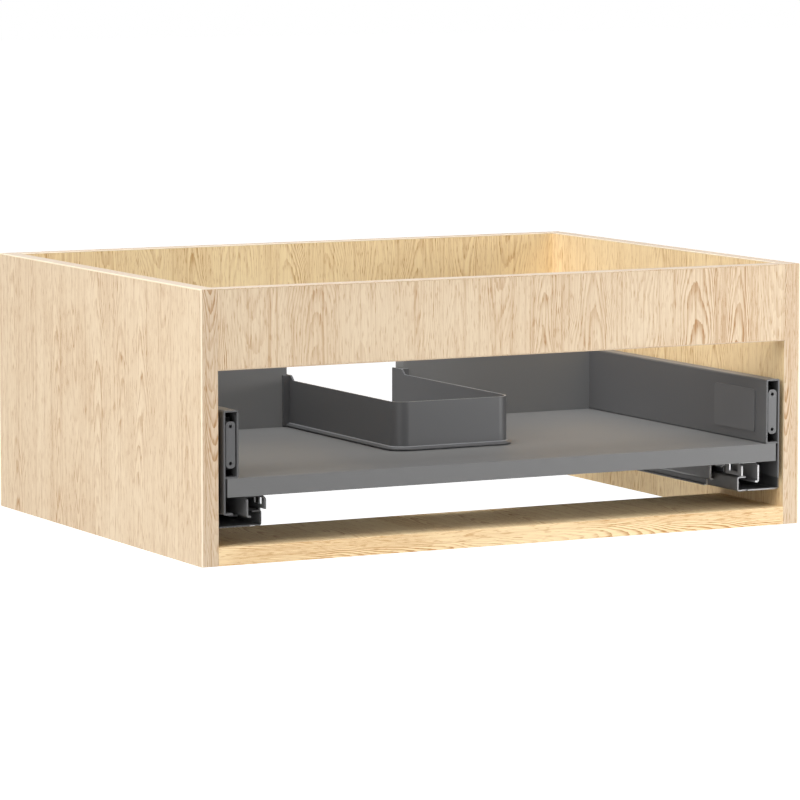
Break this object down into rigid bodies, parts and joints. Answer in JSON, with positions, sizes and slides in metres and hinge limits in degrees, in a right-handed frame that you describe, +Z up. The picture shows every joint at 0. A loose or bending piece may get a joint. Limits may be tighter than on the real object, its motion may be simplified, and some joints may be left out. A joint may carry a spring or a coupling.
{
  "type": "under-basin drawer cabinet",
  "caption": "Wall-hung open oak-effect carcass with a slim steel-sided drawer whose base and back are cut away round the waste pipe, on concealed runners.",
  "frame": {"origin": "middle of the carcass footprint at its lowest face", "axes": "+X left to right seen from the front, +Y from the open front to the wall, +Z up"},
  "size_m": [0.6, 0.446, 0.238],
  "materials": {
    "oak_board": "oak-effect decor on chipboard, fine open grain, matt",
    "oak_band": "glued edge band, same decor, matt",
    "beech": "turned beech",
    "zinc_steel": "bright zinc plate",
    "die_cast_zinc": "die-cast zinc, dull",
    "runner_steel": "roll-formed galvanised steel, dark grey",
    "damper_plastic": "black moulded plastic",
    "damper_steel": "drawn steel tube and rod",
    "spring_steel": "bright spring steel",
    "catch_plastic": "light grey moulded plastic",
    "hanger_steel": "zinc-plated pressed steel",
    "hanger_screw": "yellow-passivated steel",
    "cage_plastic": "grey moulded plastic",
    "roller_plastic": "natural white acetal",
    "grey_board": "mid-grey melamine on chipboard, satin",
    "grey_back_board": "dark warm grey melamine on chipboard, satin",
    "anthracite_paint": "anthracite powder coat, satin",
    "trim_plastic": "anthracite moulded plastic, satin",
    "cap_plastic": "anthracite moulded plastic, blank face",
    "housing_plastic": "dark grey moulded plastic",
    "bracket_steel": "grey coated steel"
  },
  "bodies": {
    "carcass": {"side_panel_left": "oak_board", "side_panel_right": "oak_board", "top_front_rail": "oak_board", "bottom_front_rail": "oak_board", "top_back_rail": "oak_board", "edge_bands_sides": "oak_band", "edge_bands_rails": "oak_band", "dowels": "beech", "cam_bolts": "zinc_steel", "cam_discs": "die_cast_zinc", "cabinet_rail_left": "runner_steel", "cabinet_rail_right": "runner_steel", "rail_screws": "zinc_steel", "damper_housing_left": "damper_plastic", "damper_housing_right": "damper_plastic", "damper_tubes": "damper_steel", "closing_springs": "spring_steel", "hanger_body_left": "hanger_steel", "hanger_body_right": "hanger_steel", "hanger_fixing_screws": "zinc_steel"},
    "drawer": {"drawer_base": "grey_board", "drawer_back_left": "grey_back_board", "drawer_back_right": "grey_back_board", "drawer_side_left": "anthracite_paint", "drawer_side_right": "anthracite_paint", "drawer_runner_left": "runner_steel", "drawer_runner_right": "runner_steel", "pipe_trim": "trim_plastic", "corner_bracket_left": "hanger_steel", "corner_bracket_right": "hanger_steel", "corner_screws": "zinc_steel", "base_screws": "zinc_steel", "adjuster_housing_left": "housing_plastic", "adjuster_housing_right": "housing_plastic"},
    "middle_runner_left": {"middle_profile_left": "runner_steel"},
    "lower_carriage_left": {"lower_cage_left": "cage_plastic", "lower_rollers_left": "roller_plastic"},
    "upper_carriage_left": {"upper_cage_left": "cage_plastic", "upper_rollers_left": "roller_plastic"},
    "catch_left": {"damper_catch_left": "catch_plastic", "damper_rod_left": "damper_steel"},
    "hanger_screw_left": {"hanger_height_screw_left": "hanger_screw"},
    "hanger_hook_left": {"hanger_hook_left": "hanger_steel"},
    "cover_cap_left": {"cover_cap_left": "cap_plastic"},
    "height_cam_left": {"height_cam_left": "die_cast_zinc"},
    "front_bracket_left": {"front_bracket_left": "bracket_steel"},
    "release_clip_left": {"release_clip_left": "spring_steel"},
    "middle_runner_right": {"middle_profile_right": "runner_steel"},
    "lower_carriage_right": {"lower_cage_right": "cage_plastic", "lower_rollers_right": "roller_plastic"},
    "upper_carriage_right": {"upper_cage_right": "cage_plastic", "upper_rollers_right": "roller_plastic"},
    "catch_right": {"damper_catch_right": "catch_plastic", "damper_rod_right": "damper_steel"},
    "hanger_screw_right": {"hanger_height_screw_right": "hanger_screw"},
    "hanger_hook_right": {"hanger_hook_right": "hanger_steel"},
    "cover_cap_right": {"cover_cap_right": "cap_plastic"},
    "height_cam_right": {"height_cam_right": "die_cast_zinc"},
    "front_bracket_right": {"front_bracket_right": "bracket_steel"},
    "release_clip_right": {"release_clip_right": "spring_steel"}
  },
  "joints": [
    {"name": "drawer_slide", "type": "slide", "parent": "carcass", "child": "drawer", "axis": [0, -1, 0], "range_m": [0, 0.35]},
    {"name": "middle_runner_slide_left", "type": "slide", "parent": "carcass", "child": "middle_runner_left", "axis": [0, -1, 0], "range_m": [0, 0.175]},
    {"name": "lower_carriage_slide_left", "type": "slide", "parent": "carcass", "child": "lower_carriage_left", "axis": [0, -1, 0], "range_m": [0, 0.0875]},
    {"name": "upper_carriage_slide_left", "type": "slide", "parent": "carcass", "child": "upper_carriage_left", "axis": [0, -1, 0], "range_m": [0, 0.2625]},
    {"name": "catch_slide_left", "type": "slide", "parent": "carcass", "child": "catch_left", "axis": [0, -1, 0], "range_m": [0, 0.04]},
    {"name": "hanger_screw_turn_left", "type": "hinge", "parent": "carcass", "child": "hanger_screw_left", "pos_m": [-0.2728, 0.183, 0.106], "axis": [0, 0, 1], "range_deg": [-2250.1, 2250.1]},
    {"name": "hanger_hook_lift_left", "type": "slide", "parent": "carcass", "child": "hanger_hook_left", "axis": [0, 0, 1], "range_m": [-0.005, 0.005]},
    {"name": "cover_cap_pull_left", "type": "slide", "parent": "drawer", "child": "cover_cap_left", "axis": [1, 0, 0], "range_m": [0, 0.03]},
    {"name": "height_cam_turn_left", "type": "hinge", "parent": "drawer", "child": "height_cam_left", "pos_m": [-0.2695, -0.183, 0.1038], "axis": [1, 0, 0], "range_deg": [-90.1, 90.1]},
    {"name": "front_bracket_lift_left", "type": "slide", "parent": "drawer", "child": "front_bracket_left", "axis": [0, 0, 1], "range_m": [-0.0015, 0.0015]},
    {"name": "release_clip_bend_left", "type": "hinge", "parent": "drawer", "child": "release_clip_left", "pos_m": [-0.2422, -0.182, 0.0568], "axis": [-1, 0, 0], "range_deg": [0, 8]},
    {"name": "middle_runner_slide_right", "type": "slide", "parent": "carcass", "child": "middle_runner_right", "axis": [0, -1, 0], "range_m": [0, 0.175]},
    {"name": "lower_carriage_slide_right", "type": "slide", "parent": "carcass", "child": "lower_carriage_right", "axis": [0, -1, 0], "range_m": [0, 0.0875]},
    {"name": "upper_carriage_slide_right", "type": "slide", "parent": "carcass", "child": "upper_carriage_right", "axis": [0, -1, 0], "range_m": [0, 0.2625]},
    {"name": "catch_slide_right", "type": "slide", "parent": "carcass", "child": "catch_right", "axis": [0, -1, 0], "range_m": [0, 0.04]},
    {"name": "hanger_screw_turn_right", "type": "hinge", "parent": "carcass", "child": "hanger_screw_right", "pos_m": [0.2728, 0.183, 0.106], "axis": [0, 0, 1], "range_deg": [-2250.1, 2250.1]},
    {"name": "hanger_hook_lift_right", "type": "slide", "parent": "carcass", "child": "hanger_hook_right", "axis": [0, 0, 1], "range_m": [-0.005, 0.005]},
    {"name": "cover_cap_pull_right", "type": "slide", "parent": "drawer", "child": "cover_cap_right", "axis": [-1, 0, 0], "range_m": [0, 0.03]},
    {"name": "height_cam_turn_right", "type": "hinge", "parent": "drawer", "child": "height_cam_right", "pos_m": [0.2695, -0.183, 0.1038], "axis": [1, 0, 0], "range_deg": [-90.1, 90.1]},
    {"name": "front_bracket_lift_right", "type": "slide", "parent": "drawer", "child": "front_bracket_right", "axis": [0, 0, 1], "range_m": [-0.0015, 0.0015]},
    {"name": "release_clip_bend_right", "type": "hinge", "parent": "drawer", "child": "release_clip_right", "pos_m": [0.2422, -0.182, 0.0568], "axis": [-1, 0, 0], "range_deg": [0, 8]}
  ],
  "couplings": [
    {"joint": "middle_runner_slide_left", "follows": "drawer_slide", "ratio": 0.5},
    {"joint": "lower_carriage_slide_left", "follows": "drawer_slide", "ratio": 0.25},
    {"joint": "upper_carriage_slide_left", "follows": "drawer_slide", "ratio": 0.75},
    {"joint": "hanger_screw_turn_left", "follows": "hanger_hook_lift_left", "rad_per_m": 7854},
    {"joint": "height_cam_turn_left", "follows": "front_bracket_lift_left", "rad_per_m": 1047.2},
    {"joint": "middle_runner_slide_right", "follows": "drawer_slide", "ratio": 0.5},
    {"joint": "lower_carriage_slide_right", "follows": "drawer_slide", "ratio": 0.25},
    {"joint": "upper_carriage_slide_right", "follows": "drawer_slide", "ratio": 0.75},
    {"joint": "hanger_screw_turn_right", "follows": "hanger_hook_lift_right", "rad_per_m": 7854},
    {"joint": "height_cam_turn_right", "follows": "front_bracket_lift_right", "rad_per_m": 1047.2}
  ]
}
